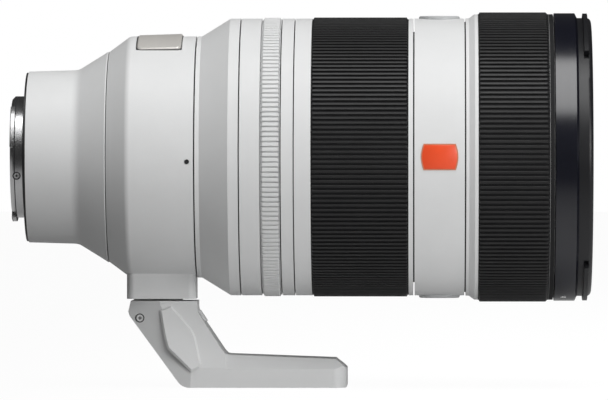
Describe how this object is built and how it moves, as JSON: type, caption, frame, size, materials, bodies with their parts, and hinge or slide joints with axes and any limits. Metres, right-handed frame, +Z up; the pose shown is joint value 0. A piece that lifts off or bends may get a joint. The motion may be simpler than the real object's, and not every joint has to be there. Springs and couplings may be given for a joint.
{
  "type": "camera zoom lens",
  "caption": "Large white telephoto zoom lens with ribbed zoom and focus grips, a turning tripod collar, a sliding foot, an iris and a bayonet mount.",
  "frame": {"origin": "centre of the bayonet mount's flange plane, on the optical axis", "axes": "+X along the optical axis towards the subject, +Z up with the foot below, +Y across towards the switch side"},
  "size_m": [0.2054, 0.1048, 0.133],
  "materials": {
    "white_paint": "fine satin paint",
    "black_paint": "satin",
    "gloss_black": "polished lacquer",
    "black_anodised": "matt anodised",
    "grip_rubber": "matt ribbed",
    "chrome_mount": "turned",
    "steel": "machined",
    "gold_contact": "plated",
    "satin_plate": "satin",
    "badge_orange": "satin enamel",
    "black_plastic": "moulded",
    "glass": "coated",
    "board_green": "solder mask",
    "copper": "wound",
    "button_grey": "fine grain"
  },
  "bodies": {
    "barrel": {"mount_bayonet": "chrome_mount", "mount_screws": "steel", "mount_gasket": "grip_rubber", "bayonet_side_screw": "steel", "contact_block": "black_plastic", "contact_pins": "gold_contact", "rear_barrel": "white_paint", "rear_cell": "black_anodised", "rear_element": "glass", "rear_doublet": "glass", "main_tube": "black_anodised", "collar_liner": "black_plastic", "focus_guide_rods": "steel", "focus_magnets": "steel", "circuit_board": "board_green", "iris_base": "black_anodised", "control_barrel": "white_paint", "switch_panel": "white_paint", "index_ring": "white_paint", "button_barrel": "white_paint", "side_badge": "badge_orange", "front_tube": "black_anodised", "front_element": "glass", "front_doublet": "glass", "front_retaining_ring": "black_anodised", "front_trim_ring": "gloss_black", "hood_mount_ring": "black_paint"},
    "collar": {"tripod_collar": "white_paint", "collar_nameplate": "satin_plate", "collar_click_screw": "steel"},
    "lock_knob": {"collar_lock_knob": "black_plastic"},
    "foot": {"tripod_foot": "white_paint", "foot_side_screws": "steel", "tripod_bushes": "steel"},
    "release_button": {"foot_release_button": "white_paint"},
    "aperture": {"aperture_ring": "white_paint"},
    "zoom": {"zoom_ring": "white_paint", "zoom_rubber": "grip_rubber", "cam_tube": "black_anodised"},
    "zoom_group": {"zoom_cell": "black_anodised", "zoom_front_element": "glass", "cam_followers": "steel"},
    "focus": {"focus_ring": "white_paint", "focus_rubber": "grip_rubber"},
    "focus_group": {"focus_cell": "black_anodised", "focus_element": "glass", "focus_coil": "copper"},
    "hold_button_top": {"focus_hold_button_top": "button_grey"},
    "hold_button_left": {"focus_hold_button_left": "button_grey"},
    "hold_button_bottom": {"focus_hold_button_bottom": "button_grey"},
    "mode_switch": {"focus_mode_switch": "black_plastic"},
    "click_switch": {"aperture_click_switch": "black_plastic"},
    "iris_drive": {"iris_drive_ring": "black_anodised"},
    "iris_blade_1": {"iris_blade_1": "black_paint"},
    "iris_blade_2": {"iris_blade_2": "black_paint"},
    "iris_blade_3": {"iris_blade_3": "black_paint"},
    "iris_blade_4": {"iris_blade_4": "black_paint"},
    "iris_blade_5": {"iris_blade_5": "black_paint"},
    "iris_blade_6": {"iris_blade_6": "black_paint"},
    "iris_blade_7": {"iris_blade_7": "black_paint"}
  },
  "joints": [
    {"name": "collar_turn", "type": "hinge", "parent": "barrel", "child": "collar", "pos_m": [0.045, 0, 0], "axis": [1, 0, 0], "continuous": true},
    {"name": "knob_turn", "type": "hinge", "parent": "collar", "child": "lock_knob", "pos_m": [0.04798, 0.045, 0], "axis": [0, 1, 0], "range_deg": [0, 270]},
    {"name": "foot_slide", "type": "slide", "parent": "collar", "child": "foot", "axis": [1, 0, 0], "range_m": [0, 0.024]},
    {"name": "foot_release_press", "type": "slide", "parent": "foot", "child": "release_button", "axis": [-1, 0, 0], "range_m": [0, 0.0012], "stiffness_N_per_m": 800, "springref_m": -0.0005},
    {"name": "aperture_turn", "type": "hinge", "parent": "barrel", "child": "aperture", "pos_m": [0.083, 0, 0], "axis": [1, 0, 0], "range_deg": [0, 70]},
    {"name": "zoom_turn", "type": "hinge", "parent": "barrel", "child": "zoom", "pos_m": [0.116, 0, 0], "axis": [1, 0, 0], "range_deg": [0, 72]},
    {"name": "zoom_group_slide", "type": "slide", "parent": "barrel", "child": "zoom_group", "axis": [1, 0, 0], "range_m": [-0.026, 0]},
    {"name": "focus_turn", "type": "hinge", "parent": "barrel", "child": "focus", "pos_m": [0.17, 0, 0], "axis": [1, 0, 0], "continuous": true},
    {"name": "focus_group_slide", "type": "slide", "parent": "barrel", "child": "focus_group", "axis": [1, 0, 0], "range_m": [-0.005, 0.005]},
    {"name": "hold_top_press", "type": "slide", "parent": "barrel", "child": "hold_button_top", "axis": [0, 0, -1], "range_m": [0, 0.0005], "stiffness_N_per_m": 2000, "springref_m": -0.0003},
    {"name": "hold_left_press", "type": "slide", "parent": "barrel", "child": "hold_button_left", "axis": [0, -1, 0], "range_m": [0, 0.0005], "stiffness_N_per_m": 2000, "springref_m": -0.0003},
    {"name": "hold_bottom_press", "type": "slide", "parent": "barrel", "child": "hold_button_bottom", "axis": [0, 0, 1], "range_m": [0, 0.0005], "stiffness_N_per_m": 2000, "springref_m": -0.0003},
    {"name": "focus_mode_slide", "type": "slide", "parent": "barrel", "child": "mode_switch", "axis": [0, 0, -1], "range_m": [0, 0.004]},
    {"name": "aperture_click_slide", "type": "slide", "parent": "barrel", "child": "click_switch", "axis": [0, 0, -1], "range_m": [0, 0.004]},
    {"name": "iris_turn", "type": "hinge", "parent": "barrel", "child": "iris_drive", "pos_m": [0.09, 0, 0], "axis": [1, 0, 0], "range_deg": [0, 30]},
    {"name": "blade_1_swing", "type": "hinge", "parent": "barrel", "child": "iris_blade_1", "pos_m": [0.086, 0.027, 0], "axis": [1, 0, 0], "range_deg": [0, 25]},
    {"name": "blade_2_swing", "type": "hinge", "parent": "barrel", "child": "iris_blade_2", "pos_m": [0.086, 0.01683, 0.02111], "axis": [1, 0, 0], "range_deg": [0, 25]},
    {"name": "blade_3_swing", "type": "hinge", "parent": "barrel", "child": "iris_blade_3", "pos_m": [0.086, -0.00601, 0.02632], "axis": [1, 0, 0], "range_deg": [0, 25]},
    {"name": "blade_4_swing", "type": "hinge", "parent": "barrel", "child": "iris_blade_4", "pos_m": [0.086, -0.02433, 0.01171], "axis": [1, 0, 0], "range_deg": [0, 25]},
    {"name": "blade_5_swing", "type": "hinge", "parent": "barrel", "child": "iris_blade_5", "pos_m": [0.086, -0.02433, -0.01171], "axis": [1, 0, 0], "range_deg": [0, 25]},
    {"name": "blade_6_swing", "type": "hinge", "parent": "barrel", "child": "iris_blade_6", "pos_m": [0.086, -0.00601, -0.02632], "axis": [1, 0, 0], "range_deg": [0, 25]},
    {"name": "blade_7_swing", "type": "hinge", "parent": "barrel", "child": "iris_blade_7", "pos_m": [0.086, 0.01683, -0.02111], "axis": [1, 0, 0], "range_deg": [0, 25]}
  ],
  "couplings": [
    {"joint": "zoom_group_slide", "follows": "zoom_turn", "m_per_rad": -0.02069},
    {"joint": "blade_1_swing", "follows": "iris_turn", "ratio": 0.83333},
    {"joint": "blade_2_swing", "follows": "iris_turn", "ratio": 0.83333},
    {"joint": "blade_3_swing", "follows": "iris_turn", "ratio": 0.83333},
    {"joint": "blade_4_swing", "follows": "iris_turn", "ratio": 0.83333},
    {"joint": "blade_5_swing", "follows": "iris_turn", "ratio": 0.83333},
    {"joint": "blade_6_swing", "follows": "iris_turn", "ratio": 0.83333},
    {"joint": "blade_7_swing", "follows": "iris_turn", "ratio": 0.83333}
  ]
}
